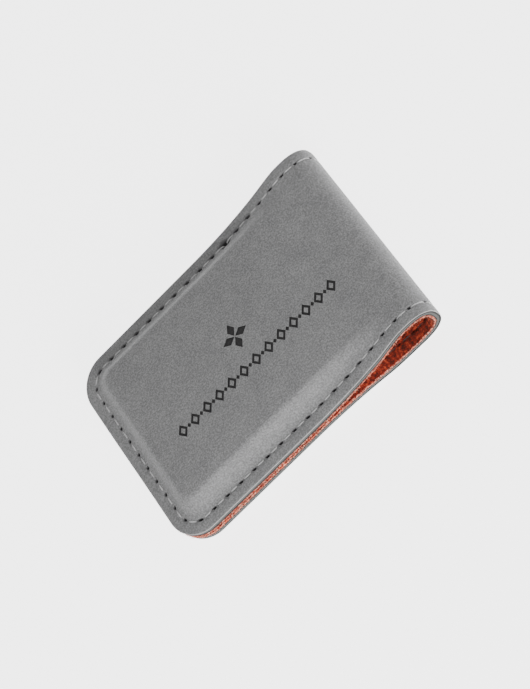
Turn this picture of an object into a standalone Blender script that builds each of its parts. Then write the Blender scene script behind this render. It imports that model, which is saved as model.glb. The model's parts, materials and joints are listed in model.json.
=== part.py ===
"""Magnetic money clip: a padded, stitched leatherette strip folded over a soft loop.

The strip lies folded on its back: free ends at -X, fold at +X, width along Y, +Z up.
Every layer is described by its height above the plane where the two flaps meet, so the
upper flap is built as drawn and the lower flap is the same shape turned upside down.
"""
import math

import bmesh
import bpy
from mathutils import Vector

MM = 0.001

# Driving dimensions, in millimetres.
LENGTH = 63.5            # folded length, free end to fold
WIDTH = 44.45            # width of the strip
CORNER_R = 7.0           # rounded corners at the free end
HALF_HEIGHT = 4.4        # flap meeting plane to the padded face, and to the top of the loop
LOOP_START_X = 25.5      # where the loop's curve begins
RISE_PULL = (15.0, 21.5)  # x of the two handles of the curve from margin to loop

COVER_T = 0.90           # outer leatherette
LINING_T = 0.40          # inner felt lining
GLUE_T = 0.05            # glue line between cover and lining
FLAP_GAP = 0.10          # free gap between the two linings at rest

STITCH_INSET = 2.3       # seam line, in from the edge
BEVEL_WIDTH = 3.0        # seam line to the flat padded face
NEEDLE_R = 0.19          # needle thread, on the cover
BOBBIN_R = 0.11          # bobbin thread, on the lining
NEEDLE_GROOVE = (0.26, 0.45)   # half width, depth
BOBBIN_GROOVE = (0.16, 0.27)
THREAD_SINK = 0.02       # a thread's top lies this far below the surface

BOARD_END_X = 2.0        # magnet board, from the free end to here
BOARD_T = 1.5
MAGNET_R = 6.0
MAGNET_T = 1.4
MAGNET_X = (-20.0, -6.5)
MAGNET_CHAMFER = 0.2
MAGNET_CLEAR = 0.1
FOAM_END_X = 22.5        # foam pad's thin end, towards the fold
FOAM_THIN = 0.25

LINKS = 4                # rigid links that stand for the flexing loop
LINK_CLEAR = 0.03        # end clearance of each link
LAYER_CLEAR = 0.05       # between stacked layers
BEVEL_CLEAR = 0.15       # between the padding and the inside of the bevel

# Sizes that follow from those above.
MARGIN_HEIGHT = COVER_T + GLUE_T + LINING_T + FLAP_GAP / 2   # meeting plane to the stitched margin's top
HINGES = LINKS + 1
HINGE_TURN = math.pi / HINGES
LEAN = math.tan(HINGE_TURN / 2)   # draw-in of a mitred end, per millimetre inside the hinge line
HINGE_DEPTH = COVER_T + GLUE_T / 2          # hinge line, below the cover's outer face
LOOP_A = LENGTH / 2 - LOOP_START_X - HINGE_DEPTH
LOOP_B = HALF_HEIGHT - HINGE_DEPTH
LINING_TOP = COVER_T + GLUE_T               # depths below the cover's outer face
LINING_FACE = MARGIN_HEIGHT - FLAP_GAP / 2
BOARD_BASE = MARGIN_HEIGHT - LINING_TOP + LAYER_CLEAR   # above the meeting plane
BEVEL_SHIFT = COVER_T * math.tan(math.pi / 8)
POCKET_FOOT = STITCH_INSET + NEEDLE_GROOVE[0] + BEVEL_SHIFT   # inset of the bevel's inside, at its foot
POCKET_TOP = STITCH_INSET + BEVEL_WIDTH + BEVEL_SHIFT         # and at the padded face
SEAM_Y = WIDTH / 2 - STITCH_INSET
SIDE_XS_FLAT = (-12.0, -LENGTH / 2 + CORNER_R)
RISE_STEPS = 8
CORNER_STEPS = 6

COLOURS = {
    "leatherette_grey": ((0.215, 0.215, 0.218), 0.78, 0.0),
    "felt_orange": ((0.62, 0.085, 0.035), 0.95, 0.0),
    "thread_grey": ((0.42, 0.42, 0.43), 0.55, 0.0),
    "bobbin_grey": ((0.30, 0.30, 0.31), 0.6, 0.0),
    "foam": ((0.75, 0.74, 0.70), 0.9, 0.0),
    "board": ((0.24, 0.20, 0.15), 0.85, 0.0),
    "nickel": ((0.62, 0.60, 0.57), 0.25, 1.0),
}


def clear_scene():
    for obj in list(bpy.data.objects):
        bpy.data.objects.remove(obj, do_unlink=True)


def material(name):
    found = bpy.data.materials.get(name)
    if found:
        return found
    colour, roughness, metallic = COLOURS[name]
    made = bpy.data.materials.new(name)
    made.use_nodes = True
    shader = made.node_tree.nodes["Principled BSDF"]
    shader.inputs["Base Color"].default_value = (*colour, 1.0)
    shader.inputs["Roughness"].default_value = roughness
    shader.inputs["Metallic"].default_value = metallic
    return made


def add_object(name, data, finish):
    obj = bpy.data.objects.new(name, data)
    obj.data.materials.append(material(finish))
    bpy.context.scene.collection.objects.link(obj)
    return obj


def finish_mesh(name, bm, finish, smooth_angle=math.radians(35)):
    bmesh.ops.remove_doubles(bm, verts=bm.verts, dist=1e-7)
    bmesh.ops.recalc_face_normals(bm, faces=bm.faces)
    mesh = bpy.data.meshes.new(name)
    bm.to_mesh(mesh)
    bm.free()
    mesh.shade_smooth()
    mesh.set_sharp_from_angle(angle=smooth_angle)
    return add_object(name, mesh, finish)


# --- the long profile: height of the margin's outer face, and its slope, along x ---

def rise_point(t):
    """Point and slope of the curve that takes the margin up to the top of the loop."""
    xs = (0.0, RISE_PULL[0], RISE_PULL[1], LOOP_START_X)
    zs = (MARGIN_HEIGHT, MARGIN_HEIGHT, HALF_HEIGHT, HALF_HEIGHT)
    u = 1 - t
    weights = (u ** 3, 3 * u * u * t, 3 * u * t * t, t ** 3)
    steps = (3 * u * u, 6 * u * t, 3 * t * t)
    x = sum(w * v for w, v in zip(weights, xs))
    z = sum(w * v for w, v in zip(weights, zs))
    dx = sum(s * (xs[i + 1] - xs[i]) for i, s in enumerate(steps))
    dz = sum(s * (zs[i + 1] - zs[i]) for i, s in enumerate(steps))
    return x, z, dz / dx


def margin_at(x):
    """(height, slope) of the margin's outer face at x, by bisection along the curve."""
    if x <= 0:
        return MARGIN_HEIGHT, 0.0
    if x >= LOOP_START_X:
        return HALF_HEIGHT, 0.0
    low, high = 0.0, 1.0
    for _ in range(40):
        middle = (low + high) / 2
        if rise_point(middle)[0] < x:
            low = middle
        else:
            high = middle
    _, z, slope = rise_point(low)
    return z, slope


def layer_height(x, depth):
    """Height of a surface that lies depth below the margin's outer face, square to it."""
    z, slope = margin_at(x)
    return z - depth * math.sqrt(1 + slope * slope)


# --- hinge polygon of the loop: its sides touch the loop's neutral curve ---

def hinge_points():
    """Hinge axes (x, height), from the upper flap round the fold to the lower flap."""
    def tangent_parameter(turn):
        return math.atan2(LOOP_A * math.sin(turn), LOOP_B * math.cos(turn))

    found = []
    for k in range(HINGES):
        first = tangent_parameter(k * HINGE_TURN)
        second = tangent_parameter((k + 1) * HINGE_TURN)
        middle, half = (first + second) / 2, (second - first) / 2
        x = LOOP_A * math.sin(middle) / math.cos(half)
        z = LOOP_B * math.cos(middle) / math.cos(half)
        found.append((LOOP_START_X + x, z))
    return found


# --- rings: closed-end U paths round the free end, at a given inset ---

def side_stations(end_x):
    """x of the points along a long side, from the fold end to the corner."""
    rise = [rise_point(i / RISE_STEPS)[0] for i in range(RISE_STEPS, -1, -1)]
    xs = [x for x in rise if x < end_x - 0.3] + list(SIDE_XS_FLAT)
    return [end_x] + xs


def ring(inset, height, end_x, side=1):
    """Points of a U path inset from the outline. height is a function of x."""
    half = WIDTH / 2 - inset
    radius = CORNER_R - inset
    centre_x = -LENGTH / 2 + CORNER_R
    left = [(x, half) for x in side_stations(end_x)]
    for i in range(1, CORNER_STEPS + 1):
        a = math.pi / 2 * (1 + i / CORNER_STEPS)
        left.append((centre_x + radius * math.cos(a), half - radius + radius * math.sin(a)))
    right = [(x, -y) for x, y in reversed(left)]
    return [Vector((x * MM, y * MM, (HALF_HEIGHT + side * height(x)) * MM)) for x, y in left + right]


def add_ring(bm, points):
    return [bm.verts.new(p) for p in points]


def bridge(bm, first, second):
    for i in range(len(first) - 1):
        bm.faces.new((first[i], first[i + 1], second[i + 1], second[i]))


def fill(bm, verts, sides):
    """Closes a ring: a strip across for each side station, and one face at the free end."""
    count = len(verts)
    for i in range(sides - 1):
        bm.faces.new((verts[i], verts[i + 1], verts[count - 2 - i], verts[count - 1 - i]))
    bm.faces.new(verts[sides - 1:count - sides + 1])


def layer(name, finish, outer_rings, inner_rings):
    """A sheet between two sets of rings, each given from its rim inwards."""
    bm = bmesh.new()
    sides = (len(outer_rings[0]) - 2 * CORNER_STEPS) // 2
    outer = [add_ring(bm, r) for r in outer_rings]
    inner = [add_ring(bm, r) for r in inner_rings]
    for rings in (outer, inner):
        for a, b in zip(rings, rings[1:]):
            bridge(bm, a, b)
        fill(bm, rings[-1], sides)
    bridge(bm, outer[0], inner[0])
    end_face = [r[0] for r in outer] + [r[-1] for r in reversed(outer)]
    end_face += [r[-1] for r in inner] + [r[0] for r in reversed(inner)]
    bm.faces.new(end_face)
    return finish_mesh(name, bm, finish)


def grooved(groove, depth, end_x, side, mitre=0.0):
    """Rings of a surface at a depth, from its rim to just inside its thread groove."""
    half, deep = groove
    floor_depth = depth + deep if depth == 0 else depth - deep
    steps = (
        (0, depth),
        (STITCH_INSET - half, depth),
        (STITCH_INSET - half, floor_depth),
        (STITCH_INSET + half, floor_depth),
        (STITCH_INSET + half, depth),
    )
    rings = []
    for inset, level in steps:
        end = end_x - mitre * max(0.0, level - HINGE_DEPTH)
        rings.append(ring(inset, lambda x: layer_height(x, level), end, side))
    return rings


# --- the pieces of one flap ---

def pocket_inset(height):
    """Inset of the inside of the cover's bevel at a height above the meeting plane."""
    low = MARGIN_HEIGHT - COVER_T
    return POCKET_FOOT + (POCKET_TOP - POCKET_FOOT) * (height - low) / (HALF_HEIGHT - MARGIN_HEIGHT)


def flap_cover(name, side, end_x):
    outer = grooved(NEEDLE_GROOVE, 0, end_x, side)
    outer.append(ring(STITCH_INSET + BEVEL_WIDTH, lambda x: HALF_HEIGHT, end_x, side))
    inner = [
        ring(0, lambda x: layer_height(x, COVER_T), end_x, side),
        ring(POCKET_FOOT, lambda x: layer_height(x, COVER_T), end_x, side),
        ring(POCKET_TOP, lambda x: HALF_HEIGHT - COVER_T, end_x, side),
    ]
    return layer(name, "leatherette_grey", outer, inner)


def flap_lining(name, side, end_x):
    """The lining's end is mitred, so that it stays clear of the nearest link's lining."""
    outer = [ring(0, lambda x: layer_height(x, LINING_TOP), end_x, side)]
    inner = grooved(BOBBIN_GROOVE, LINING_FACE, end_x, side, mitre=LEAN)
    return layer(name, "felt_orange", outer, inner)


def foam_pad(name, side):
    """Soft pad under the cover, thinning towards the fold along the lining."""
    top = HALF_HEIGHT - COVER_T - LAYER_CLEAR
    base = BOARD_BASE + BOARD_T + LAYER_CLEAR

    def underside(x):
        lining = layer_height(x, LINING_TOP) + LAYER_CLEAR
        return min(max(base, lining), top - FOAM_THIN)

    upper_edge = ring(pocket_inset(top) + BEVEL_CLEAR, lambda x: top, FOAM_END_X, side)
    lower_edge = ring(pocket_inset(base) + BEVEL_CLEAR, underside, FOAM_END_X, side)
    return layer(name, "foam", [upper_edge], [lower_edge])


def magnet_board(name, side):
    """Stiff board with a round pocket through it for each magnet."""
    inset = pocket_inset(BOARD_BASE + BOARD_T) + BEVEL_CLEAR
    upper_edge = ring(inset, lambda x: BOARD_BASE + BOARD_T, BOARD_END_X, side)
    lower_edge = ring(inset, lambda x: BOARD_BASE, BOARD_END_X, side)
    board = layer(name, "board", [upper_edge], [lower_edge])
    middle = BOARD_BASE + BOARD_T / 2
    for i, x in enumerate(MAGNET_X):
        radius = MAGNET_R + MAGNET_CLEAR
        cutter = disc(f"{name}_cutter_{i}", "board", radius, BOARD_T * 3, x, middle, side, 0)
        cutter.hide_render = True
        cutter.display_type = "WIRE"
        cut = board.modifiers.new(f"pocket_{i}", "BOOLEAN")
        cut.operation = "DIFFERENCE"
        cut.object = cutter
    return board


def disc(name, finish, radius, thickness, x, height, side, chamfer):
    """A round disc on a vertical axis, centred at a height above the meeting plane."""
    bm = bmesh.new()
    bmesh.ops.create_cone(
        bm, cap_ends=True, segments=40, radius1=radius * MM, radius2=radius * MM, depth=thickness * MM
    )
    if chamfer:
        rims = [e for e in bm.edges if abs(e.verts[0].co.z - e.verts[1].co.z) < 1e-9]
        bmesh.ops.bevel(bm, geom=rims, offset=chamfer * MM, segments=2, profile=0.5, affect="EDGES")
    obj = finish_mesh(name, bm, finish)
    obj.location = (x * MM, 0, (HALF_HEIGHT + side * height) * MM)
    return obj


def thread_tube(name, finish, radius, points):
    curve = bpy.data.curves.new(name, "CURVE")
    curve.dimensions = "3D"
    curve.bevel_depth = radius * MM
    curve.bevel_resolution = 2
    curve.use_fill_caps = True
    spline = curve.splines.new("POLY")
    spline.points.add(len(points) - 1)
    for point, place in zip(spline.points, points):
        point.co = (*place, 1)
    return add_object(name, curve, finish)


def needle_thread(name, side, end_x):
    depth = NEEDLE_R + THREAD_SINK
    path = ring(STITCH_INSET, lambda x: layer_height(x, depth), end_x - LAYER_CLEAR, side)
    return thread_tube(name, "thread_grey", NEEDLE_R, path)


def bobbin_thread(name, side, end_x):
    depth = LINING_FACE - BOBBIN_R - THREAD_SINK
    end_x -= LEAN * (LINING_FACE - HINGE_DEPTH) + LAYER_CLEAR
    path = ring(STITCH_INSET, lambda x: layer_height(x, depth), end_x, side)
    return thread_tube(name, "bobbin_grey", BOBBIN_R, path)


def flap(name, side, end_x):
    """Every piece of one flap. side is 1 for the upper flap and -1 for the lower."""
    pieces = [
        flap_cover(f"{name}_cover", side, end_x),
        flap_lining(f"{name}_lining", side, end_x),
        foam_pad(f"{name}_foam_pad", side),
        magnet_board(f"{name}_magnet_board", side),
        needle_thread(f"{name}_needle_thread", side, end_x),
        bobbin_thread(f"{name}_bobbin_thread", side, end_x),
    ]
    middle = BOARD_BASE + BOARD_T / 2
    for place, x in zip(("front", "rear"), MAGNET_X):
        magnet = f"{name}_magnet_{place}"
        pieces.append(disc(magnet, "nickel", MAGNET_R, MAGNET_T, x, middle, side, MAGNET_CHAMFER))
    return pieces


# --- the links of the fold ---

def link_frame(start, end):
    """Function from (along, across, out) millimetres to a place on the link, and the link's length."""
    length = math.hypot(end[0] - start[0], end[1] - start[1])
    along = ((end[0] - start[0]) / length, (end[1] - start[1]) / length)
    outward = (-along[1], along[0])

    def place(s, y, n):
        x = start[0] + along[0] * s + outward[0] * n
        z = start[1] + along[1] * s + outward[1] * n
        return Vector((x * MM, y * MM, (HALF_HEIGHT + z) * MM))

    return place, length


def draw_in(n, clearance):
    """How far a link's end lies inside its hinge, at a height n out from the hinge line."""
    return clearance + LEAN * max(0.0, -n)


def grooved_outline(face, back, groove):
    """(across, out) outline of a link's sheet, with a thread groove near each edge of its face."""
    half, deep = groove
    floor = face - math.copysign(deep, face - back)
    points = [(-WIDTH / 2, back), (WIDTH / 2, back), (WIDTH / 2, face)]
    for seam in (SEAM_Y, -SEAM_Y):
        points += [(seam + half, face), (seam + half, floor), (seam - half, floor), (seam - half, face)]
    points.append((-WIDTH / 2, face))
    return points


def link_sheet(name, finish, place, length, outline):
    bm = bmesh.new()
    start, end = [], []
    for y, n in outline:
        draw = draw_in(n, LINK_CLEAR)
        start.append(bm.verts.new(place(draw, y, n)))
        end.append(bm.verts.new(place(length - draw, y, n)))
    bridge(bm, start + start[:1], end + end[:1])
    bm.faces.new(start)
    bm.faces.new(end)
    return finish_mesh(name, bm, finish)


def link_thread(name, finish, radius, place, length, y, n):
    draw = draw_in(n - radius, LINK_CLEAR + LAYER_CLEAR)
    return thread_tube(name, finish, radius, [place(draw, y, n), place(length - draw, y, n)])


def link(number, start, end):
    """One link of the fold: its cover lies outside the hinge line and its lining inside it."""
    place, length = link_frame(start, end)
    face, lining_face = HINGE_DEPTH, HINGE_DEPTH - LINING_FACE
    cover = grooved_outline(face, GLUE_T / 2, NEEDLE_GROOVE)
    lining = grooved_outline(lining_face, -GLUE_T / 2, BOBBIN_GROOVE)
    pieces = [
        link_sheet(f"fold_cover_{number}", "leatherette_grey", place, length, cover),
        link_sheet(f"fold_lining_{number}", "felt_orange", place, length, lining),
    ]
    needle = face - NEEDLE_R - THREAD_SINK
    bobbin = lining_face + BOBBIN_R + THREAD_SINK
    for edge, y in (("left", SEAM_Y), ("right", -SEAM_Y)):
        upper = f"fold_needle_thread_{edge}_{number}"
        under = f"fold_bobbin_thread_{edge}_{number}"
        pieces.append(link_thread(upper, "thread_grey", NEEDLE_R, place, length, y, needle))
        pieces.append(link_thread(under, "bobbin_grey", BOBBIN_R, place, length, y, bobbin))
    return pieces


def hang_on(hinge, name, pieces, parent):
    """Parents a moving group's pieces to an empty on its hinge axis."""
    pivot = bpy.data.objects.new(name, None)
    pivot.empty_display_size = 2 * MM
    pivot.location = (hinge[0] * MM, 0, (HALF_HEIGHT + hinge[1]) * MM)
    bpy.context.scene.collection.objects.link(pivot)
    if parent:
        pivot.location -= parent.matrix_world.translation
        pivot.parent = parent
    bpy.context.view_layer.update()
    for piece in pieces:
        piece.parent = pivot
        piece.matrix_parent_inverse = pivot.matrix_world.inverted()
    return pivot


def main():
    clear_scene()
    hinges = hinge_points()
    # the lower flap rests on the table, and the chain of links runs from it to the upper flap
    flap("lower", -1, hinges[-1][0] - LINK_CLEAR)
    pivot = None
    for number in range(1, LINKS + 1):
        near, far = hinges[HINGES - number], hinges[LINKS - number]
        pivot = hang_on(near, f"pivot_{number}", link(number, far, near), pivot)
    hang_on(hinges[0], f"pivot_{HINGES}", flap("upper", 1, hinges[0][0] - LINK_CLEAR), pivot)


main()
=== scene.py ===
# Magnetic money clip: grey leatherette outside, orange felt inside, stitched all round.
# The strip lies folded, free ends at -X and fold at +X. Sizes in the dictionaries are millimetres.
import math

import bmesh
import bpy
import numpy as np
from mathutils import Matrix, Vector
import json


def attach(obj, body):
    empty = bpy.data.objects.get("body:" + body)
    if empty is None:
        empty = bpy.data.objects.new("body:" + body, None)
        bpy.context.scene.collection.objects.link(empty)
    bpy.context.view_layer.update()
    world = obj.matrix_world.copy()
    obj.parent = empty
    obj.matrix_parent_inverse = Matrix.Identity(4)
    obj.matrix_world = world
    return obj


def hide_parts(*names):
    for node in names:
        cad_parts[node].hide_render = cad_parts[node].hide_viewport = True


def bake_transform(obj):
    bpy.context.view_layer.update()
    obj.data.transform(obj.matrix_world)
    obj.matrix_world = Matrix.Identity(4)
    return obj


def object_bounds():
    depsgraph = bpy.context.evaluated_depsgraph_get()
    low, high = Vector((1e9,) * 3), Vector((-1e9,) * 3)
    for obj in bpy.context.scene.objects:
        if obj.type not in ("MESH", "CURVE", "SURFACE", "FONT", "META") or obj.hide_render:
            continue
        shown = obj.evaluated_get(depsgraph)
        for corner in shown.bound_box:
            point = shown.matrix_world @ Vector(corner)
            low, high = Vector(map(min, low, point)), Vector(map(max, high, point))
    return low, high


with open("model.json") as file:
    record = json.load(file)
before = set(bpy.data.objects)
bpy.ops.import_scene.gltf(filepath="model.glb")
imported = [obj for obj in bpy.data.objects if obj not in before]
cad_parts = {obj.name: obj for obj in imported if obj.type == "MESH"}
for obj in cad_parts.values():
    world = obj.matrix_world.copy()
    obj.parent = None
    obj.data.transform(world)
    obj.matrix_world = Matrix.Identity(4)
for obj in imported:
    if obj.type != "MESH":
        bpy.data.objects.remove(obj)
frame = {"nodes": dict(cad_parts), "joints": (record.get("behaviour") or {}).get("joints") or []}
cadLow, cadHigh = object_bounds()
mm = 0.001
hinges = sorted(frame["joints"], key=lambda joint: joint["name"])  # from the lower flap round the fold
hingeCount = len(hinges)

strip = {
    "edgeProud": 0.12,        # how far leatherette and felt stand past the frame's sides
    "cornerRadius": 6.7,
    "cornerTight": 3.0,       # up to this inset the corners tighten as fast as the inset
    "cornerFlow": 0.35,       # share of that speed further in
    "cornerSteps": 30,
    "coverThick": 1.15,       # at the margin
    "panelThick": 0.90,       # over the foam
    "glue": 0.05,
    "liningThick": 0.40,
    "gap": 0.05,              # lining to the plane where the flaps meet
    "foldStart": 25.5,        # x where the round fold begins
    "risePull": (15.0, 21.5),  # handles of the curve from the thin end up to the fold
    "seamInset": 2.42,
    "bevelFoot": 0.2,         # from the seam to where the bevel starts
    "bevelWidth": 3.8,
    "edgeRound": 0.05,        # how far the skin drops at the cut edge
    "edgeRoundWide": 1.3,
    "edgeRoundDeep": 0.1,     # cut points above this depth drop with the skin
    "rimSag": {1: 0.50, -1: 0.85},  # how far each flap's rim hangs; 1 is the upper flap
    "backSag": 0.4,           # share of that along the +Y side
    "sagWidth": 4.2,
    "sagFade": 8.0,           # length over which the sag ends before the fold
    "faceClear": 0.02,        # least distance to the plane where the flaps meet
    "foldSquare": 2.7,        # 2 is an ellipse, more is squarer
    "neutralDepth": 0.925,    # the layer that keeps its length in the fold
    "stationStep": 0.2,
    "foldSteps": 22,          # for each hinge
    "foldTone": (6.0, 10.0),  # x where the cut edge starts to look as at the fold, and over what length
    "feltColumns": 48,
    "feltUneven": 0.02,
}
seam = {
    "pitch": 3.447,
    "holeLong": 0.72,         # half length of a needle hole
    "holeWide": 0.30,
    "holeDeep": 0.5,
    "holeSlant": 0.10,
    "holeRim": (1.25, 0.45),  # steepness of the hole's wall, and how wide its bottom is
    "endHole": 0.62,          # share of the length that holes have along the free end
    "endReach": 0.6,          # how far round the corners that holds, in corner radii
    "valleyDeep": 0.09,
    "valleyWide": 0.26,
    "bobbinHole": 0.20,
    "bobbinLong": 0.5,        # share of the needle side's length
    "bobbinDeep": 0.10,
    "knotX": 8.6,             # the needle hole where the seam is locked off
    "knotSize": 2.3,
}
halfLength = -cadLow.x / mm
halfWidth = cadHigh.y / mm + strip["edgeProud"]
halfHeight = (cadHigh.z - cadLow.z) / 2 / mm
marginHeight = sum(strip[k] for k in ("coverThick", "glue", "liningThick", "gap"))
liningBack = strip["coverThick"] + strip["glue"]
liningFace = liningBack + strip["liningThick"]
foldA = halfLength - strip["foldStart"] - strip["neutralDepth"]
foldB = halfHeight - strip["neutralDepth"]
sideCount = round((strip["foldStart"] + halfLength - strip["cornerRadius"]) / strip["stationStep"]) + 1
endSteps = round((halfWidth - strip["cornerRadius"]) / strip["stationStep"])
creaseAngle = math.radians(50)
deepestCut = 0.96  # cut mark of the deepest point that still shows, 1 is a hidden face


def smooth(t):
    t = np.clip(t, 0, 1)
    return t * t * (3 - 2 * t)


# where the strip runs

def riseTable(count=600):
    # x, height and slope of the margin between the thin end and the fold
    t = np.linspace(0, 1, count)
    u = 1 - t
    xs = (0.0, *strip["risePull"], strip["foldStart"])
    zs = (marginHeight, marginHeight, halfHeight, halfHeight)
    weights = (u ** 3, 3 * u * u * t, 3 * u * t * t, t ** 3)
    x = sum(w * v for w, v in zip(weights, xs))
    z = sum(w * v for w, v in zip(weights, zs))
    return x, z, np.gradient(z, x)


riseX, riseZ, riseSlope = riseTable()


def marginAt(x):
    return np.interp(x, riseX, riseZ), np.interp(x, riseX, riseSlope, left=0, right=0)


def sagAt(x, y, inset, side):
    # both flaps hang a little towards their rim, but not at the fold
    share = strip["backSag"] + (1 - strip["backSag"]) * smooth(0.5 - y / halfWidth)
    deep = strip["rimSag"][side] * np.clip(1 - inset / strip["sagWidth"], 0, 1)
    return deep * share * smooth((strip["foldStart"] - x) / strip["sagFade"])


def ringPath(inset):
    # x and y of a U-shaped line at one inset, from the fold round the free end and back
    tight = min(inset, strip["cornerTight"])
    radius = strip["cornerRadius"] - tight - strip["cornerFlow"] * (inset - tight)
    half = halfWidth - inset
    cornerX = -halfLength + inset + radius
    side = np.linspace(strip["foldStart"], cornerX, sideCount)
    turn = np.linspace(math.pi / 2, math.pi, strip["cornerSteps"] + 1)[1:]
    end = np.linspace(half - radius, 0, endSteps + 1)[1:]
    x = np.concatenate((side, cornerX + radius * np.cos(turn), np.full(endSteps, -halfLength + inset)))
    y = np.concatenate((np.full(sideCount, half), half - radius + radius * np.sin(turn), end))
    return np.concatenate((x, x[-2::-1])), np.concatenate((y, -y[-2::-1]))


def runAlong(points):
    steps = np.linalg.norm(np.diff(points, axis=0), axis=1)
    return np.concatenate(([0], np.cumsum(steps)))


def seamRun():
    x, y = ringPath(strip["seamInset"])
    return runAlong(np.stack((x, y, marginAt(x)[0]), axis=1))


flapRun = seamRun()
flapPitch = flapRun[-1] / round(flapRun[-1] / seam["pitch"])


def foldPoint(turn, depth):
    # x and height above the meeting plane, at a depth under the outer skin; turn 0 is the upper end
    s, c = np.sin(turn), np.cos(turn)
    power = strip["foldSquare"]
    across = np.abs(foldA * s) ** (1 / (power - 1))
    upward = np.abs(foldB * c) ** (1 / (power - 1))
    reach = (across ** power + upward ** power) ** (1 / power)
    out = strip["neutralDepth"] - depth
    x = strip["foldStart"] + foldA * across / reach + out * s
    height = foldB * np.sign(c) * upward / reach + out * c
    return x, height


foldTurns = np.linspace(0, math.pi, hingeCount * strip["foldSteps"] + 1)
foldRun = runAlong(np.stack(foldPoint(foldTurns, 0.0), axis=1))
foldPitch = foldRun[-1] / round(foldRun[-1] / seam["pitch"])


# the skin's relief: valley of the seam, needle holes and rounded margin

def holeAt(run, inset, pitch, long=1.0):
    # 1 in the middle of a needle hole, 0 outside it
    along = (run + pitch / 2) % pitch - pitch / 2
    across = inset - strip["seamInset"] + seam["holeSlant"] * along
    wide = seam["holeWide"] * np.maximum(long, 1)
    steep, bottom = seam["holeRim"]
    return 1 - smooth(np.hypot(along / (seam["holeLong"] * long), across / wide) * steep - bottom)


def seamDrop(run, inset, pitch, valleyDeep, holeDeep, long=1.0):
    valley = valleyDeep * np.exp(-((inset - strip["seamInset"]) / seam["valleyWide"]) ** 2)
    return valley + holeDeep * holeAt(run, inset, pitch, long)


def holeSize(x, y, side):
    # holes are nearly round along the free end, and one is pulled wide by the knot
    knot = (np.abs(x - seam["knotX"]) < flapPitch / 2) & (y > 0) & (side > 0)
    atEnd = x < -halfLength + strip["cornerRadius"] * seam["endReach"]
    return np.where(atEnd, seam["endHole"], np.where(knot, seam["knotSize"], 1.0))


# closed sheets. A profile is a list of (inset, depth, kind) from the middle of one face round
# the cut edge to the middle of the other. "skin" and "face" show, "back" is glued, "cut" is the edge

coverInsets = [6.4, 5.9, 5.5, 5.1, 4.7, 4.3, 3.9, 3.5, 3.15, 2.85, 2.75, 2.66, 2.58, 2.5, 2.42,
               2.34, 2.26, 2.18, 2.08, 1.85, 1.45, 1.1, 0.75, 0.42, 0.2]
coverEdge = [(0.07, 0.02), (0.015, 0.09), (0.0, 0.15), (0.03, 0.21), (0.07, 0.3), (0.05, 0.45), (0.06, 0.65),
             (0.08, 0.8), (0.05, 0.95), (0.03, 1.08), (0.05, strip["coverThick"])]
coverProfile = [(i, 0.0, "skin") for i in coverInsets] + [(i, d, "cut") for i, d in coverEdge]
coverProfile += [(i, strip["coverThick"], "back") for i in (1.2, 2.6, 3.5)]
coverProfile += [(i, strip["panelThick"], "back") for i in (4.5, 5.5, 6.4)]

liningEdge = [(0.09, liningBack), (0.0, liningBack + 0.08), (0.03, liningBack + 0.2), (0.0, liningFace - 0.1),
              (0.07, liningFace)]
liningProfile = [(i, liningBack, "back") for i in (6.4, 4.0, 1.5)] + [(i, d, "cut") for i, d in liningEdge]
faceInsets = [0.4, 0.9, 1.4, 1.75, 2.1, 2.26, 2.42, 2.58, 2.74, 2.95, 3.3, 3.9, 4.5, 5.2, 5.8, 6.4]
liningProfile += [(i, liningFace, "face") for i in faceInsets]


def levelOf(kind, depth, inset, run, pitch, long=1.0):
    # how far a point lies under the margin's outer skin, its relief included
    if kind == "skin":
        rounded = strip["edgeRound"] * np.clip(1 - inset / strip["edgeRoundWide"], 0, 1) ** 2
        return rounded + seamDrop(run, inset, pitch, seam["valleyDeep"], seam["holeDeep"], long)
    if kind == "face":
        long = seam["bobbinLong"] * long
        return depth - seamDrop(run, inset, pitch, seam["bobbinDeep"], seam["bobbinHole"], long)
    nearSkin = kind == "cut" and depth < strip["edgeRoundDeep"]
    return depth + (strip["edgeRound"] if nearSkin else 0.0)


def cutMark(kind, depth):
    # depth in the cut edge, for the materials: 0 on the skin and 1 on hidden faces
    if kind == "cut":
        return min(depth / strip["coverThick"], deepestCut)
    return 1.0 if kind == "back" else 0.0


def newObject(name, data):
    obj = bpy.data.objects.new(name, data)
    bpy.context.scene.collection.objects.link(obj)
    return obj


def objectFrom(bm, name, finish):
    mesh = bpy.data.meshes.new(name)
    bm.to_mesh(mesh)
    bm.free()
    mesh.materials.append(finish)
    return newObject(name, mesh)


def meshFrom(name, points, faces, marks):
    mesh = bpy.data.meshes.new(name)
    mesh.from_pydata([tuple(p) for p in points], [], faces)
    for label, values in marks.items():
        layer = mesh.attributes.new(label, "FLOAT", "POINT")
        layer.data.foreach_set("value", np.asarray(values, dtype=np.float32))
    bm = bmesh.new()
    bm.from_mesh(mesh)
    bmesh.ops.recalc_face_normals(bm, faces=bm.faces)
    bm.to_mesh(mesh)
    bm.free()
    mesh.shade_smooth()
    mesh.set_sharp_from_angle(angle=creaseAngle)
    return newObject(name, mesh)


def feltFuzz(points, size):
    # unevenness of the felt, the same at every run: long waves and short ones that bend each other
    x, y, z = points[:, 0], points[:, 1], points[:, 2]
    wave = np.sin(2.1 * x + 1.7 * np.sin(1.3 * y)) * np.sin(2.6 * y + 1.1 * np.sin(1.9 * x + z))
    fine = np.sin(7.9 * x + 2.3 * np.sin(5.3 * y + z)) * np.sin(8.7 * y + 2.0 * np.sin(6.1 * x))
    return size * (0.6 * wave + 0.4 * fine)


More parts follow.
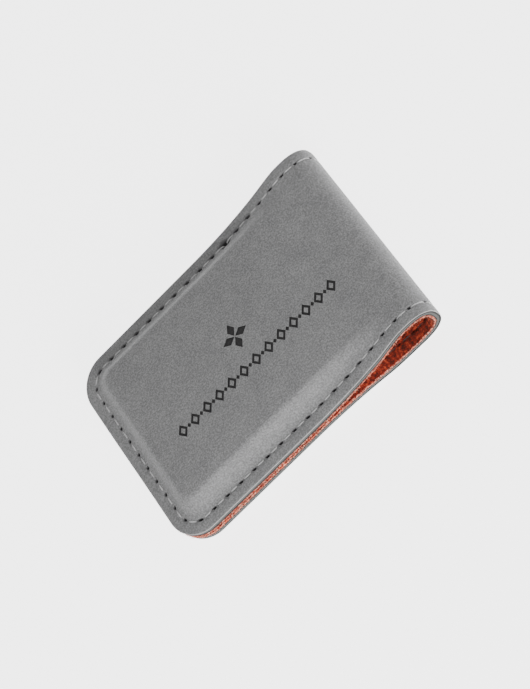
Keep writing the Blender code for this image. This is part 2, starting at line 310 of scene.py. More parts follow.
def middleRows(points, first, count, columns, side, fuzz):
    # rows of points across the middle of a ring, one row for each station of the long side
    rows, inner, start = [], [], len(points)
    share = np.linspace(0, 1, columns + 1)[1:-1, None]
    for i in range(sideCount):
        a, b = points[first + i], points[first + count - 1 - i]
        line = a + (b - a) * share
        line[:, 2] += side * (feltFuzz(line, fuzz) - feltFuzz(a[None, :], fuzz))
        rows.append([first + i, *range(start, start + columns - 1), first + count - 1 - i])
        inner.append(line)
        start += columns - 1
    faces = [(p[i], p[i + 1], q[i + 1], q[i]) for p, q in zip(rows, rows[1:]) for i in range(columns)]
    faces.append((*range(first + sideCount - 1, first + count - sideCount + 1), *rows[-1][-2:0:-1]))
    return faces, np.concatenate(inner), rows[0][1:-1]


def flapSheet(name, side, profile, columns=0, fuzz=0.0):
    # one flap's stretch of a sheet. columns divides its middle; without it the middle is one flat face
    rings, holeShades, cuts = [], [], []
    for inset, depth, kind in profile:
        x, y = ringPath(inset)
        base, slope = marginAt(x)
        long = holeSize(x, y, side)
        level = levelOf(kind, depth, inset, flapRun, flapPitch, long)
        pastFoot = inset - strip["seamInset"] - strip["bevelFoot"]
        raised = smooth(pastFoot / strip["bevelWidth"]) if depth < liningBack else 0.0
        height = base + (halfHeight - base) * raised - level * np.sqrt(1 + slope ** 2)
        if kind == "face":
            height = height + feltFuzz(np.stack((x, y, 0 * x), axis=1), fuzz) + fuzz
        z = halfHeight + side * np.maximum(height, strip["faceClear"]) - sagAt(x, y, inset, side)
        rings.append(np.stack((x, y, z), axis=1))
        # mask of the needle and bobbin holes, for the painted shade in them
        holeShades.append(holeAt(flapRun, inset, flapPitch, long) * (kind in ("skin", "face")))
        cuts.append(np.full(len(x), cutMark(kind, depth)))
    count = len(rings[0])
    last = (len(rings) - 1) * count
    points, holeShade, cut = (np.concatenate(v) for v in (rings, holeShades, cuts))
    faces = []
    for a in range(0, last, count):
        faces += [(a + i, a + i + 1, a + count + i + 1, a + count + i) for i in range(count - 1)]
    across = {0: [], last: []}
    for first in across:
        if not columns:
            faces.append(tuple(range(first, first + count)))
            continue
        more, inner, across[first] = middleRows(points, first, count, columns, side, fuzz if first else 0.0)
        faces += more
        points = np.concatenate((points, inner))
    starts = list(range(0, last + 1, count))
    stops = [s + count - 1 for s in reversed(starts)]
    faces.append((*starts, *across[last], *stops, *reversed(across[0])))
    extra = np.zeros(len(points) - len(holeShade))
    toneStart, toneLength = strip["foldTone"]
    marks = {"holeShade": np.concatenate((holeShade, extra)), "cut": np.concatenate((cut, extra)),
             "fold": smooth((points[:, 0] - toneStart) / toneLength)}
    return meshFrom(name, points * mm, faces, marks)


def foldSheet(name, part, profile, columns=1, fuzz=0.0):
    # the stretch of a sheet that bends over one hinge of the fold; part 0 joins the upper flap
    half = halfWidth - profile[0][0]
    middle = list(np.linspace(half, -half, columns + 1)[1:-1])
    first, last = profile[0], profile[-1]
    outline = [(halfWidth - p[0], p) for p in profile] + [(y, last) for y in middle]
    outline += [(p[0] - halfWidth, p) for p in reversed(profile)] + [(-y, first) for y in middle]
    low = part * strip["foldSteps"]
    stations = range(low, low + strip["foldSteps"] + 1)
    points, holeShades, cuts = [], [], []
    for k in stations:
        for y, (inset, depth, kind) in outline:
            level = levelOf(kind, depth, inset, foldRun[k], foldPitch)
            if kind == "face":
                level -= fuzz + float(feltFuzz(np.array([[foldRun[k] + 3, y, 0]]), fuzz)[0])
            x, z = foldPoint(foldTurns[k], float(level))
            points.append((x * mm, y * mm, (halfHeight + z) * mm))
            # mask of the needle and bobbin holes, for the painted shade in them
            holeShades.append(float(holeAt(foldRun[k], inset, foldPitch)) if kind in ("skin", "face") else 0.0)
            cuts.append(cutMark(kind, depth))
    size, rows = len(outline), len(stations)
    faces = [(r * size + i, r * size + (i + 1) % size, (r + 1) * size + (i + 1) % size, (r + 1) * size + i)
             for r in range(rows - 1) for i in range(size)]
    faces += [tuple(range(size)), tuple(range((rows - 1) * size, rows * size))]
    return meshFrom(name, points, faces, {"holeShade": holeShades, "cut": cuts, "fold": np.ones(len(points))})


# finishes

def newMaterial(name):
    made = bpy.data.materials.new(name)
    made.use_nodes = True
    tree = made.node_tree
    return made, tree, tree.nodes["Principled BSDF"]


def addNode(tree, kind, settings=None, **inputs):
    node = tree.nodes.new(kind)
    for key, value in (settings or {}).items():
        setattr(node, key, value)
    for key, value in inputs.items():
        socket = node.inputs[key.replace("_", " ")]
        if isinstance(value, bpy.types.NodeSocket):
            tree.links.new(value, socket)
        else:
            socket.default_value = value
    return node


def noise(tree, scale, detail=4.0, rough=0.55):
    where = addNode(tree, "ShaderNodeTexCoord").outputs["Object"]
    node = addNode(tree, "ShaderNodeTexNoise", Vector=where, Scale=scale, Detail=detail, Roughness=rough)
    return node.outputs["Fac"]


def ramp(tree, value, stops):
    node = addNode(tree, "ShaderNodeValToRGB", Fac=value)
    line = node.color_ramp
    while len(line.elements) < len(stops):
        line.elements.new(0.5)
    for element, (place, colour) in zip(line.elements, stops):
        element.position = place
        element.color = (colour, colour, colour, 1) if isinstance(colour, float) else (*colour, 1)
    return node.outputs["Color"]


def mixColour(tree, share, first, second, blend="MIX"):
    node = addNode(tree, "ShaderNodeMix", {"data_type": "RGBA", "blend_type": blend})
    for socket, value in ((node.inputs[0], share), (node.inputs[6], first), (node.inputs[7], second)):
        if isinstance(value, bpy.types.NodeSocket):
            tree.links.new(value, socket)
        elif isinstance(value, float):
            socket.default_value = value
        else:
            socket.default_value = (*value, 1)
    return node.outputs[2]


def mark(tree, name):
    return addNode(tree, "ShaderNodeAttribute", {"attribute_name": name}).outputs["Fac"]


def bump(tree, shader, height, distance, strength=1.0):
    node = addNode(tree, "ShaderNodeBump", Height=height, Distance=distance * mm, Strength=strength)
    tree.links.new(node.outputs["Normal"], shader.inputs["Normal"])


def sumOf(tree, *pairs):
    # weighted sum of textures
    total = None
    for value, weight in pairs:
        part = addNode(tree, "ShaderNodeMath", {"operation": "MULTIPLY"})
        tree.links.new(value, part.inputs[0])
        part.inputs[1].default_value = weight
        if total is None:
            total = part.outputs[0]
            continue
        both = addNode(tree, "ShaderNodeMath", {"operation": "ADD"})
        tree.links.new(total, both.inputs[0])
        tree.links.new(part.outputs[0], both.inputs[1])
        total = both.outputs[0]
    return total


leatherLook = {
    "colour": (0.195, 0.195, 0.196),
    "dark": (0.178, 0.178, 0.180),
    "light": (0.212, 0.212, 0.213),
    "fleck": (0.72, 1.36),    # darkest and brightest fleck, as shares of the colour
    # painted highlight: a pale line along the top of the cut edge, paler than the skin
    "edgeHighlight": (0.42, 0.41, 0.405),
    "core": (0.006, 0.007, 0.0065),
    "coreSpeck": (0.025, 0.024, 0.023),
    "middle": (0.060, 0.062, 0.060),  # grey layer between the two black ones
    "backing": (0.16, 0.10, 0.075),
    # painted shade: near black in the needle holes
    "holeShade": (0.012, 0.012, 0.013),
    "cloudScale": 260,        # noise scales, per metre
    "fleckScale": 3200,
    "coreScale": 5200,
    "grainScale": 2200,
    "swellScale": 420,
    "grain": 0.07,            # depth of the relief
    "roughness": 0.72,
    "specular": 0.2,
}


def leatheretteFinish():
    made, tree, shader = newMaterial("greyLeatherette")
    look = leatherLook
    cloud = ramp(tree, noise(tree, look["cloudScale"], 5, 0.6),
                 [(0.3, look["dark"]), (0.5, look["colour"]), (0.72, look["light"])])
    fleck = ramp(tree, noise(tree, look["fleckScale"], 3, 0.65),
                 [(0.36, look["fleck"][0]), (0.5, 1.0), (0.64, look["fleck"][1])])
    skin = mixColour(tree, 1.0, cloud, fleck, "MULTIPLY")
    speck = ramp(tree, noise(tree, look["coreScale"], 3, 0.7),
                 [(0.4, look["core"]), (0.7, look["coreSpeck"])])
    cut = mark(tree, "cut")
    # the top of the cut edge gets a pale band, a painted highlight
    highlightBand = ramp(tree, cut, [(0.01, 0.0), (0.03, 1.0), (0.10, 1.0), (0.14, 0.0)])
    highlighted = mixColour(tree, highlightBand, skin, look["edgeHighlight"])
    inCore = ramp(tree, cut, [(0.12, 0.0), (0.16, 1.0)])
    flatGrey = ramp(tree, cut, [(0.14, 0.0), (0.18, 1.0), (0.62, 1.0), (0.74, 0.0)])
    foldGrey = ramp(tree, cut, [(0.40, 0.0), (0.50, 1.0), (0.80, 1.0), (0.88, 0.0)])
    grey = mixColour(tree, mark(tree, "fold"), flatGrey, foldGrey)
    layers = mixColour(tree, grey, speck, look["middle"])
    cored = mixColour(tree, inCore, highlighted, layers)
    atBack = ramp(tree, cut, [(0.97, 0.0), (1.0, 1.0)])
    backed = mixColour(tree, atBack, cored, look["backing"])
    # the needle holes are painted near black, a painted shade
    final = mixColour(tree, mark(tree, "holeShade"), backed, look["holeShade"])
    tree.links.new(final, shader.inputs["Base Color"])
    shader.inputs["Roughness"].default_value = look["roughness"]
    shader.inputs["Specular IOR Level"].default_value = look["specular"]
    grain = noise(tree, look["grainScale"], 4, 0.65)
    swell = noise(tree, look["swellScale"], 3)
    bump(tree, shader, sumOf(tree, (grain, 1.0), (swell, 0.8)), look["grain"], 0.8)
    return made


feltLook = {
    "deep": (0.05, 0.003, 0.002),
    "colour": (0.26, 0.016, 0.007),
    "bright": (0.66, 0.10, 0.035),
    "frayed": (0.92, 0.46, 0.33),
    # painted shade: dark in the bobbin holes
    "holeShade": (0.05, 0.005, 0.004),
    "sheen": (1.0, 0.55, 0.4),
    "tuftScale": 1500,        # noise scales, per metre
    "frayScale": 2900,
    "napScale": 3200,
    "lumpScale": 900,
    "nap": 0.16,              # depth of the relief
    "roughness": 0.95,
    "specular": 0.15,
    "sheenWeight": 0.35,
    "sheenRoughness": 0.6,
}


def feltFinish():
    made, tree, shader = newMaterial("orangeFelt")
    look = feltLook
    tufts = ramp(tree, noise(tree, look["tuftScale"], 5, 0.7),
                 [(0.40, look["deep"]), (0.53, look["colour"]), (0.68, look["bright"])])
    fray = ramp(tree, noise(tree, look["frayScale"], 3, 0.8), [(0.50, 0.0), (0.62, 1.0)])
    atCut = ramp(tree, mark(tree, "cut"), [(0.5, 0.0), (0.9, 0.8)])
    frayed = mixColour(tree, mixColour(tree, 1.0, fray, atCut, "MULTIPLY"), tufts, look["frayed"])
    # the bobbin holes are painted dark, a painted shade
    final = mixColour(tree, mark(tree, "holeShade"), frayed, look["holeShade"])
    tree.links.new(final, shader.inputs["Base Color"])
    shader.inputs["Roughness"].default_value = look["roughness"]
    shader.inputs["Specular IOR Level"].default_value = look["specular"]
    shader.inputs["Sheen Weight"].default_value = look["sheenWeight"]
    shader.inputs["Sheen Roughness"].default_value = look["sheenRoughness"]
    shader.inputs["Sheen Tint"].default_value = (*look["sheen"], 1)
    nap = noise(tree, look["napScale"], 5, 0.75)
    lumps = noise(tree, look["lumpScale"], 3)
    bump(tree, shader, sumOf(tree, (nap, 1.0), (lumps, 0.8)), look["nap"])
    return made


def threadFinish(name, light, dark):
    made, tree, shader = newMaterial(name)
    tint = ramp(tree, noise(tree, 3800, 3, 0.7), [(0.35, dark), (0.65, light)])
    tree.links.new(tint, shader.inputs["Base Color"])
    shader.inputs["Roughness"].default_value = 0.5
    shader.inputs["Sheen Weight"].default_value = 0.2
    bump(tree, shader, noise(tree, 5200, 3), 0.04, 0.8)
    return made


def speckledFinish(name, dark, light, scale, roughness, metallic=0.0, relief=0.03):
    made, tree, shader = newMaterial(name)
    tint = ramp(tree, noise(tree, scale, 5, 0.6), [(0.35, dark), (0.65, light)])
    tree.links.new(tint, shader.inputs["Base Color"])
    shader.inputs["Roughness"].default_value = roughness
    shader.inputs["Metallic"].default_value = metallic
    bump(tree, shader, noise(tree, scale * 2, 3), relief, 0.6)
    return made


leatherette = leatheretteFinish()
felt = feltFinish()
needleThread = threadFinish("paleThread", (0.60, 0.60, 0.60), (0.34, 0.34, 0.34))
bobbinThread = threadFinish("darkThread", (0.05, 0.025, 0.02), (0.02, 0.012, 0.01))
fibreFinish = speckledFinish("frayedFibre", (0.60, 0.11, 0.045), (0.90, 0.50, 0.36), 1800, 0.8, 0.0, 0.01)
burnt = speckledFinish("burntMark", (0.007, 0.007, 0.008), (0.022, 0.021, 0.021), 2600, 0.85)
foamFinish = speckledFinish("paleFoam", (0.62, 0.61, 0.57), (0.78, 0.77, 0.73), 1800, 0.95, 0.0, 0.1)
boardFinish = speckledFinish("greyBoard", (0.19, 0.155, 0.115), (0.29, 0.25, 0.19), 900, 0.85)
nickelFinish = speckledFinish("nickelPlate", (0.52, 0.50, 0.47), (0.66, 0.64, 0.61), 350, 0.27, 1.0, 0.004)
print("finishes ready")


# Geometry Nodes for what follows the seam and the cut edge

def newTree(name, inputs):
    tree = bpy.data.node_groups.new(name, "GeometryNodeTree")
    tree.interface.new_socket("Geometry", in_out="INPUT", socket_type="NodeSocketGeometry")
    for label, kind in inputs:
        tree.interface.new_socket(label, in_out="INPUT", socket_type="NodeSocket" + kind)
    tree.interface.new_socket("Geometry", in_out="OUTPUT", socket_type="NodeSocketGeometry")
    return tree, tree.nodes.new("NodeGroupInput").outputs, tree.nodes.new("NodeGroupOutput")


def maths(tree, operation, a, b):
    node = addNode(tree, "ShaderNodeMath", {"operation": operation})
    for socket, value in zip(node.inputs, (a, b)):
        if isinstance(value, bpy.types.NodeSocket):
            tree.links.new(value, socket)
        else:
            socket.default_value = value
    return node.outputs[0]


def vectorOf(tree, x, y, z):
    return addNode(tree, "ShaderNodeCombineXYZ", X=x, Y=y, Z=z).outputs[0]


def pathSamples(tree, curve, lengthValue, field):
    # position, tangent and outward direction of the path at a length along it
    node = tree.nodes.new("GeometryNodeSampleCurve")
    node.mode = "LENGTH"
    node.data_type = "FLOAT_VECTOR"
    tree.links.new(curve, node.inputs["Curves"])
    tree.links.new(lengthValue, node.inputs["Length"])
    tree.links.new(field, node.inputs["Value"])
    return node.outputs["Position"], node.outputs["Tangent"], node.outputs["Value"]


def namedVector(tree, name):
    node = addNode(tree, "GeometryNodeInputNamedAttribute", {"data_type": "FLOAT_VECTOR"}, Name=name)
    return node.outputs[0]


stitches = {
    "needle": {"radius": 0.15, "shorter": 0.95, "dip": 0.42, "crown": 0.14, "sink": 0.13},
    "bobbin": {"radius": 0.10, "shorter": 0.7, "dip": 0.26, "crown": 0.10, "sink": 0.12},
    "handle": 0.44,           # how far out the loop's curve handles lie, as a share of its length
    "loopSteps": 8,
    "sides": 7,
}


def stitchTree():
    # one short thread loop between each pair of needle holes
    tree, given, result = newTree("seamStitches", [
        ("Count", "Int"), ("Pitch", "Float"), ("Length", "Float"), ("Radius", "Float"), ("Dip", "Float"),
        ("Crown", "Float"), ("Thread", "Material")])
    curve = addNode(tree, "GeometryNodeMeshToCurve", Mesh=given["Geometry"]).outputs[0]
    points = addNode(tree, "GeometryNodePoints", Count=given["Count"]).outputs[0]
    index = tree.nodes.new("GeometryNodeInputIndex").outputs[0]
    along = maths(tree, "MULTIPLY", maths(tree, "ADD", index, 0.5), given["Pitch"])
    place, tangent, up = pathSamples(tree, curve, along, namedVector(tree, "up"))
    placed = addNode(tree, "GeometryNodeSetPosition", Geometry=points, Position=place).outputs[0]
    turn = addNode(tree, "FunctionNodeAxesToRotation", {"primary_axis": "X", "secondary_axis": "Z"},
                   Primary_Axis=tangent, Secondary_Axis=up).outputs[0]
    half = maths(tree, "MULTIPLY", given["Length"], 0.5)
    inner = maths(tree, "MULTIPLY", given["Length"], stitches["handle"])
    dip = maths(tree, "MULTIPLY", given["Dip"], -1.0)
    back = maths(tree, "MULTIPLY", half, -1.0)
    innerBack = maths(tree, "MULTIPLY", inner, -1.0)
    loop = addNode(tree, "GeometryNodeCurvePrimitiveBezierSegment", Resolution=stitches["loopSteps"],
                   Start=vectorOf(tree, back, 0.0, dip), End=vectorOf(tree, half, 0.0, dip),
                   Start_Handle=vectorOf(tree, innerBack, 0.0, given["Crown"]),
                   End_Handle=vectorOf(tree, inner, 0.0, given["Crown"])).outputs[0]
    ring = addNode(tree, "GeometryNodeCurvePrimitiveCircle", Resolution=stitches["sides"],
                   Radius=given["Radius"]).outputs[0]
    tube = addNode(tree, "GeometryNodeCurveToMesh", Curve=loop, Profile_Curve=ring, Fill_Caps=True).outputs[0]
    copies = addNode(tree, "GeometryNodeInstanceOnPoints", Points=placed, Instance=tube, Rotation=turn)
    real = addNode(tree, "GeometryNodeRealizeInstances", Geometry=copies.outputs[0]).outputs[0]
    smoothed = addNode(tree, "GeometryNodeSetShadeSmooth", Geometry=real).outputs[0]
    finished = addNode(tree, "GeometryNodeSetMaterial", Geometry=smoothed, Material=given["Thread"])
    tree.links.new(finished.outputs[0], result.inputs[0])
    return tree


def randomValue(tree, low, high, seed):
    node = addNode(tree, "FunctionNodeRandomValue", {"data_type": "FLOAT"}, Seed=seed)
    wanted = [s for s in node.inputs if s.enabled and s.name in ("Min", "Max")]
    for socket, value in zip(wanted, (low, high)):
        socket.default_value = value
    return next(s for s in node.outputs if s.enabled)


fibres = {
    "perMm": 9.0,
    "longest": 0.36,
    "shortest": 0.35,         # share of the longest
    "radius": 0.035,
    "tip": 0.4,               # share of the radius
    "scatter": 0.12,          # how far the roots stray from the line
    "lean": 0.9,              # how far the fibres lean, 0 is straight out
    "ends": (0.002, 0.998),   # stretch of the line that they grow on
    "inset": 0.06,
    "depth": liningBack + strip["liningThick"] / 2,
    "seeds": {"flap": 11, "fold": 31},
}


def fibreTree():
    # loose fibres that stand out of the felt's cut edge
    tree, given, result = newTree("frayedEdge", [
        ("Count", "Int"), ("Path Length", "Float"), ("Longest", "Float"), ("Radius", "Float"),
        ("Seed", "Int"), ("Fibre", "Material")])
    curve = addNode(tree, "GeometryNodeMeshToCurve", Mesh=given["Geometry"]).outputs[0]
    points = addNode(tree, "GeometryNodePoints", Count=given["Count"]).outputs[0]
    share = randomValue(tree, *fibres["ends"], given["Seed"])
    along = maths(tree, "MULTIPLY", share, given["Path Length"])
    place, tangent, out = pathSamples(tree, curve, along, namedVector(tree, "up"))
    spread = addNode(tree, "FunctionNodeRandomValue", {"data_type": "FLOAT_VECTOR"},
                     Seed=maths(tree, "ADD", given["Seed"], 1.0))
    spread.inputs[0].default_value = (-1, -1, -1)
    spread.inputs[1].default_value = (1, 1, 1)
    lean = addNode(tree, "ShaderNodeVectorMath", {"operation": "MULTIPLY_ADD"})
    tree.links.new(spread.outputs[0], lean.inputs[0])
    lean.inputs[1].default_value = (fibres["lean"],) * 3
    tree.links.new(out, lean.inputs[2])
    shift = addNode(tree, "ShaderNodeVectorMath", {"operation": "SCALE"}, Scale=fibres["scatter"] * mm)
    tree.links.new(spread.outputs[0], shift.inputs[0])
    placed = addNode(tree, "GeometryNodeSetPosition", Geometry=points, Position=place,
                     Offset=shift.outputs[0]).outputs[0]
    turn = addNode(tree, "FunctionNodeAxesToRotation", {"primary_axis": "Z", "secondary_axis": "X"},
                   Primary_Axis=lean.outputs[0], Secondary_Axis=tangent).outputs[0]
    tip = maths(tree, "MULTIPLY", given["Radius"], fibres["tip"])
    shape = addNode(tree, "GeometryNodeMeshCone", Vertices=3, Radius_Top=tip, Radius_Bottom=given["Radius"],
                    Depth=given["Longest"])
    size = randomValue(tree, fibres["shortest"], 1.0, maths(tree, "ADD", given["Seed"], 2.0))
    copies = addNode(tree, "GeometryNodeInstanceOnPoints", Points=placed, Instance=shape.outputs[0],
                     Rotation=turn, Scale=vectorOf(tree, 1.0, 1.0, size))
    real = addNode(tree, "GeometryNodeRealizeInstances", Geometry=copies.outputs[0]).outputs[0]
    finished = addNode(tree, "GeometryNodeSetMaterial", Geometry=real, Material=given["Fibre"])
    tree.links.new(finished.outputs[0], result.inputs[0])
    return tree


def grow(name, tree, points, ups, settings):
    # runs a tree on a guide line and returns plain meshed geometry
    guide = bpy.data.meshes.new(name + "Guide")
    guide.from_pydata([tuple(p) for p in points], [(i, i + 1) for i in range(len(points) - 1)], [])
    layer = guide.attributes.new("up", "FLOAT_VECTOR", "POINT")
    layer.data.foreach_set("vector", np.asarray(ups, dtype=np.float32).ravel())
    source = newObject(name + "Guide", guide)
    modifier = source.modifiers.new("grow", "NODES")
    modifier.node_group = tree
    sockets = {s.name: s.identifier for s in tree.interface.items_tree if s.in_out == "INPUT"}
    for key, value in settings.items():
        modifier[sockets[key]] = value
    bpy.context.view_layer.update()
    mesh = bpy.data.meshes.new_from_object(source.evaluated_get(bpy.context.evaluated_depsgraph_get()))
    mesh.name = name
    finish = next(m for m in mesh.materials if m)
    mesh.materials.clear()
    mesh.materials.append(finish)
    mesh.polygons.foreach_set("material_index", np.zeros(len(mesh.polygons), dtype=np.int32))
    bpy.data.objects.remove(source)
    return newObject(name, mesh)


def joined(name, pieces):
    bm = bmesh.new()
    finish = pieces[0].data.materials[0]
    for piece in pieces:
        bm.from_mesh(piece.data)
        bpy.data.objects.remove(piece)
    return objectFrom(bm, name, finish)


def sliced(name, whole, part):
    # the stretch of a piece that belongs to one hinge of the fold, capped where it is cut
    bm = bmesh.new()
    bm.from_mesh(whole.data)
    for turn, keep in ((part * math.pi / hingeCount, 1), ((part + 1) * math.pi / hingeCount, -1)):
        if (part, keep) in ((0, 1), (hingeCount - 1, -1)):
            continue  # nothing lies past the fold's own ends
        x, z = foldPoint(turn, strip["neutralDepth"])
        origin = Vector((x, 0, halfHeight + z)) * mm
        normal = Vector((math.cos(turn), 0, -math.sin(turn))) * keep
        every = bm.verts[:] + bm.edges[:] + bm.faces[:]
        done = bmesh.ops.bisect_plane(bm, geom=every, plane_co=origin, plane_no=normal, clear_inner=True)
        rim = [e for e in done["geom_cut"] if isinstance(e, bmesh.types.BMEdge) and e.is_valid]
        bmesh.ops.holes_fill(bm, edges=rim, sides=0)
    return objectFrom(bm, name, whole.data.materials[0])


# guide lines

def flapGuide(side, inset, depth, outward=False):
    # line along a flap at one inset, and the way its stitches face, or its fibres when outward
    x, y = ringPath(inset)
    base, slope = marginAt(x)
    lean = np.sqrt(1 + slope ** 2)
    z = halfHeight + side * (base - depth * lean) - sagAt(x, y, inset, side)
    points = np.stack((x, y, z), axis=1) * mm
    if not outward:
        ups = np.stack((-slope / lean, 0 * x, side / lean), axis=1)
        return points, ups if depth < liningBack else -ups
    step = np.gradient(points, axis=0)
    flat = np.stack((-step[:, 1], step[:, 0], 0 * x), axis=1)
    return points, -flat / np.linalg.norm(flat, axis=1)[:, None]


def foldGuide(edge, inset, depth, outward=False):
    # the same round the fold, along the edge at +Y or -Y
    x, z = foldPoint(foldTurns, depth)
    y = np.full(len(x), edge * (halfWidth - inset))
    points = np.stack((x, y, halfHeight + z), axis=1) * mm
    if not outward:
        ups = np.stack((np.sin(foldTurns), 0 * x, np.cos(foldTurns)), axis=1)
        return points, ups if depth < liningBack else -ups
    return points, np.tile((0.0, float(edge), 0.0), (len(x), 1))


stitchNodes = stitchTree()
fibreNodes = fibreTree()


def stitchRow(name, which, guide, pitch, finish):
    points, ups = guide
    look = stitches[which]
    length = runAlong(points)[-1]
    count = round(length / mm / pitch)
    step = length / count
    settings = {"Count": count, "Pitch": step, "Length": step - look["shorter"] * mm,
                "Radius": look["radius"] * mm, "Dip": look["dip"] * mm, "Crown": look["crown"] * mm,
                "Thread": finish}
    return grow(name, stitchNodes, points, ups, settings)


def fibreRow(name, guide, seed):
    points, ups = guide
    length = runAlong(points)[-1]
    settings = {"Count": round(length / mm * fibres["perMm"]), "Path Length": length, "Seed": seed,
                "Longest": fibres["longest"] * mm, "Radius": fibres["radius"] * mm, "Fibre": fibreFinish}
    return grow(name, fibreNodes, points, ups, settings)


# the pieces

def dressed(piece, finish):
    piece.data.materials.clear()
    piece.data.materials.append(finish)
    return piece


engraving = {
    "deep": 0.12,
    "clear": 0.2,             # how far the cutters stand above the skin
    "lineX": (-18.5, 20.3),   # centres of the first and last lozenge
    "lineY": -5.2,
    "count": 13,
    "lozenge": (1.15, 1.5),   # half width and half height
    "stroke": 0.46,
    "dot": (0.42, 0.5),
    "starAt": (0.1, 1.7),
    "petal": (0.88, 1.42),
    "petalOut": 1.55,
}


def lozenge(centre, half, turn=0.0):
    c, s = math.cos(turn), math.sin(turn)
    corners = ((half[0], 0), (0, half[1]), (-half[0], 0), (0, -half[1]))
    return [(centre[0] + c * x - s * y, centre[1] + s * x + c * y) for x, y in corners]


def addPrism(bm, outer, inner=None):
    # a standing prism on an outline, or on the band between two outlines
    low = (2 * halfHeight - engraving["deep"]) * mm
    high = (2 * halfHeight + engraving["clear"]) * mm
    outlines = [outer, inner] if inner else [outer]
    loops = [[bm.verts.new((x * mm, y * mm, z)) for x, y in line] for line in outlines for z in (low, high)]
    count = len(outer)
    pairs = [(loops[0], loops[1]), (loops[3], loops[2])] if inner else [(loops[0], loops[1])]
    if inner:
        pairs += [(loops[1], loops[3]), (loops[2], loops[0])]
    else:
        bm.faces.new(reversed(loops[0]))
        bm.faces.new(loops[1])
    for a, b in pairs:
        for i in range(count):
            j = (i + 1) % count
            bm.faces.new((a[i], a[j], b[j], b[i]))


def engrave(cover):
    # a row of open lozenges with a four-petalled star above it, burnt into the upper panel
    look = engraving
    bm = bmesh.new()
    xs = np.linspace(*look["lineX"], look["count"])
    for i, x in enumerate(xs):
        wide, tall = look["lozenge"]
        slant = math.hypot(wide, tall) * look["stroke"]
        inside = (wide - slant / tall, tall - slant / wide)
        addPrism(bm, lozenge((x, look["lineY"]), look["lozenge"]), lozenge((x, look["lineY"]), inside))
        if i:
            addPrism(bm, lozenge(((x + xs[i - 1]) / 2, look["lineY"]), look["dot"]))
    for k in range(4):
        turn = k * math.pi / 2
        x = look["starAt"][0] - look["petalOut"] * math.sin(turn)
        y = look["starAt"][1] + look["petalOut"] * math.cos(turn)
        addPrism(bm, lozenge((x, y), look["petal"], turn))
    bmesh.ops.recalc_face_normals(bm, faces=bm.faces)
    marks = objectFrom(bm, "marks", burnt)
    cut = cover.modifiers.new("engrave", "BOOLEAN")
    cut.operation = "DIFFERENCE"
    cut.object = marks
    cut.material_mode = "TRANSFER"
    bpy.context.view_layer.update()
    carved = bpy.data.meshes.new_from_object(cover.evaluated_get(bpy.context.evaluated_depsgraph_get()))
    cover.modifiers.clear()
    cover.data = carved
    carved.set_sharp_from_angle(angle=creaseAngle)
    bpy.data.objects.remove(marks)
    print("engraving cut:", [m.name for m in carved.materials if m])


def makeFlap(name, side):
    body = name + "_flap"
    needleSink = stitches["needle"]["sink"]
    bobbinLevel = liningFace - stitches["bobbin"]["sink"]
    cover = dressed(flapSheet(f"{name}_flap_cover", side, coverProfile), leatherette)
    if side > 0:
        engrave(cover)
    lining = flapSheet(f"{name}_flap_lining", side, liningProfile, strip["feltColumns"], strip["feltUneven"])
    dressed(lining, felt)
    needleLine = flapGuide(side, strip["seamInset"], needleSink)
    bobbinLine = flapGuide(side, strip["seamInset"], bobbinLevel)
    needle = stitchRow(f"{name}_flap_needle_stitches", "needle", needleLine, flapPitch, needleThread)
    bobbin = stitchRow(f"{name}_flap_bobbin_stitches", "bobbin", bobbinLine, flapPitch, bobbinThread)
    cutLine = flapGuide(side, fibres["inset"], fibres["depth"], True)
    fray = fibreRow(f"{name}_flap_felt_fibres", cutLine, fibres["seeds"]["flap"] + side)
    for piece in (cover, lining, needle, bobbin, fray):
        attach(piece, body)
    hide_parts(f"{name}_cover")
    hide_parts(f"{name}_lining")
    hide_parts(f"{name}_needle_thread")
    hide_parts(f"{name}_bobbin_thread")
    hidden = {"foam_pad": foamFinish, "magnet_board": boardFinish, "magnet_front": nickelFinish,
              "magnet_rear": nickelFinish}
    for node, finish in hidden.items():
        mesh = frame["nodes"][f"{name}_{node}"].data
        mesh.materials.clear()
        mesh.materials.append(finish)
    print(name, "flap made")
    return cover, lining


def makeFold():
    # part 0 joins the upper flap; the hinges count the other way, from the lower flap
    wholes = {}
    bobbinLevel = liningFace - stitches["bobbin"]["sink"]
    for which, depth, finish in (("needle", stitches["needle"]["sink"], needleThread),
                                 ("bobbin", bobbinLevel, bobbinThread)):
        label = f"{which}_stitches"
        rows = []
        for edge in (1, -1):
            guide = foldGuide(edge, strip["seamInset"], depth)
            rows.append(stitchRow(f"{label}{edge}", which, guide, foldPitch, finish))
        wholes[label] = (joined(label, rows), f"{which}_thread")
    rows = []
    for edge in (1, -1):
        guide = foldGuide(edge, fibres["inset"], fibres["depth"], True)
        rows.append(fibreRow(f"fibres{edge}", guide, fibres["seeds"]["fold"] + edge))
    wholes["felt_fibres"] = (joined("felt_fibres", rows), "felt")
    linings = []
    for part in range(hingeCount):
        number = hingeCount - part
        skin = dressed(foldSheet(f"fold_cover_skin_{number}", part, coverProfile), leatherette)
        lining = foldSheet(f"fold_felt_{number}", part, liningProfile, strip["feltColumns"],
                           strip["feltUneven"])
        linings.append(dressed(lining, felt))
        pieces = [skin, lining]
        for label, (whole, slotName) in wholes.items():
            piece = sliced(f"fold_{label}_{number}", whole, part)
            pieces.append(piece)
        for piece in pieces:
            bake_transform(piece)
        link = number - 1
        if link:  # the pieces at each hinge stand for the nodes of the link before it
            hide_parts(f"fold_cover_{link}")
            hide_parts(f"fold_lining_{link}")
            for edge in ("left", "right"):
                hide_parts(f"fold_needle_thread_{edge}_{link}")
                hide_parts(f"fold_bobbin_thread_{edge}_{link}")
    for whole, _ in wholes.values():
        bpy.data.objects.remove(whole)
    print("fold made")
    return linings


upperCover, upperLining = makeFlap("upper", 1)
lowerCover, lowerLining = makeFlap("lower", -1)
foldLinings = makeFold()


# room, light and camera

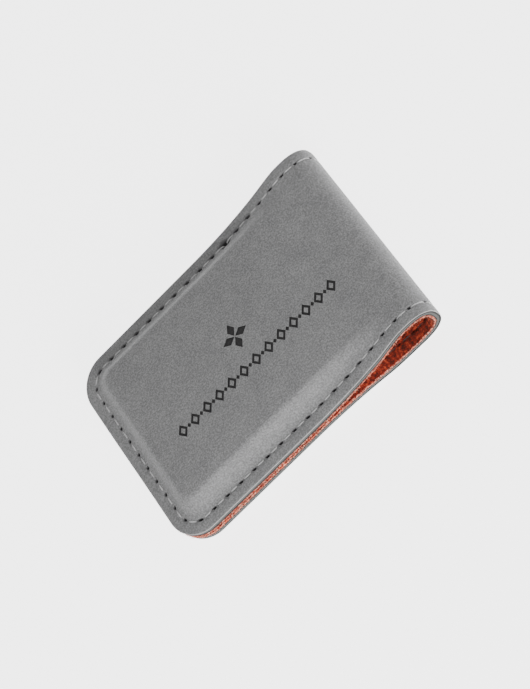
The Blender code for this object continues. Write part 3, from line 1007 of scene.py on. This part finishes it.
studio = {
    "aim": (3.0, -2.3, 5.8),  # aim, distance and lens in millimetres, angles in degrees
    "distance": 477.7,
    "azimuth": 22.14,
    "elevation": 54.45,
    "roll": 62.94,            # clockwise
    "lens": 135.9,
    "keyPower": 11.8,         # watts
    "keyFrom": (0.10, -1.0, 0.32),  # lamps and floor in metres
    "keySize": 0.5,
    "fillPower": 2.8,
    "fillFrom": (-0.25, 1.0, 0.40),
    "fillSize": 0.8,
    "skyStrength": 0.69,
    "floorGlow": 3.4,
    "floorReach": 3.0,
    "floorDrop": 0.00002,
}


def makeRoom():
    floorMesh = bpy.data.meshes.new("floor")
    reach = studio["floorReach"]
    z = cadLow.z - studio["floorDrop"]
    corners = [(-reach, -reach, z), (reach, -reach, z), (reach, reach, z), (-reach, reach, z)]
    floorMesh.from_pydata(corners, [], [(0, 1, 2, 3)])
    floor = newObject("floor", floorMesh)
    made, tree, shader = newMaterial("whitePaper")
    shade = ramp(tree, noise(tree, 40, 2), [(0.3, 0.93), (0.7, 0.95)])
    tree.links.new(shade, shader.inputs["Base Color"])
    shader.inputs["Roughness"].default_value = 0.9
    shader.inputs["Specular IOR Level"].default_value = 0.1
    shader.inputs["Emission Color"].default_value = (1, 1, 1, 1)
    shader.inputs["Emission Strength"].default_value = studio["floorGlow"]
    floorMesh.materials.append(made)


def areaLight(name, place, size, power):
    data = bpy.data.lights.new(name, "AREA")
    data.shape = "DISK"
    data.size = size
    data.energy = power
    lamp = newObject(name, data)
    lamp.location = place
    lamp.rotation_euler = (-Vector(place)).to_track_quat("-Z", "Y").to_euler()


def makeLights():
    world = bpy.data.worlds.new("studio")
    world.use_nodes = True
    sky = world.node_tree.nodes["Background"]
    sky.inputs["Color"].default_value = (1, 1, 1, 1)
    sky.inputs["Strength"].default_value = studio["skyStrength"]
    bpy.context.scene.world = world
    areaLight("key", studio["keyFrom"], studio["keySize"], studio["keyPower"])
    areaLight("fill", studio["fillFrom"], studio["fillSize"], studio["fillPower"])


def makeCamera():
    data = bpy.data.cameras.new("camera")
    data.lens = studio["lens"]
    data.clip_start = 0.01
    data.clip_end = 20
    camera = newObject("camera", data)
    azimuth, elevation, roll = (math.radians(studio[k]) for k in ("azimuth", "elevation", "roll"))
    level = math.cos(elevation)
    back = Vector((math.sin(azimuth) * level, -math.cos(azimuth) * level, math.sin(elevation)))
    levelRight = Vector((math.cos(azimuth), math.sin(azimuth), 0))
    levelUp = back.cross(levelRight)
    right = math.cos(roll) * levelRight - math.sin(roll) * levelUp
    up = back.cross(right)
    turn = Matrix((right, up, back)).transposed().to_4x4()
    aim = Vector(studio["aim"]) * mm
    camera.matrix_world = Matrix.Translation(aim + back * studio["distance"] * mm) @ turn
    bpy.context.scene.camera = camera


makeRoom()
makeLights()
makeCamera()
print("room, light and camera ready")
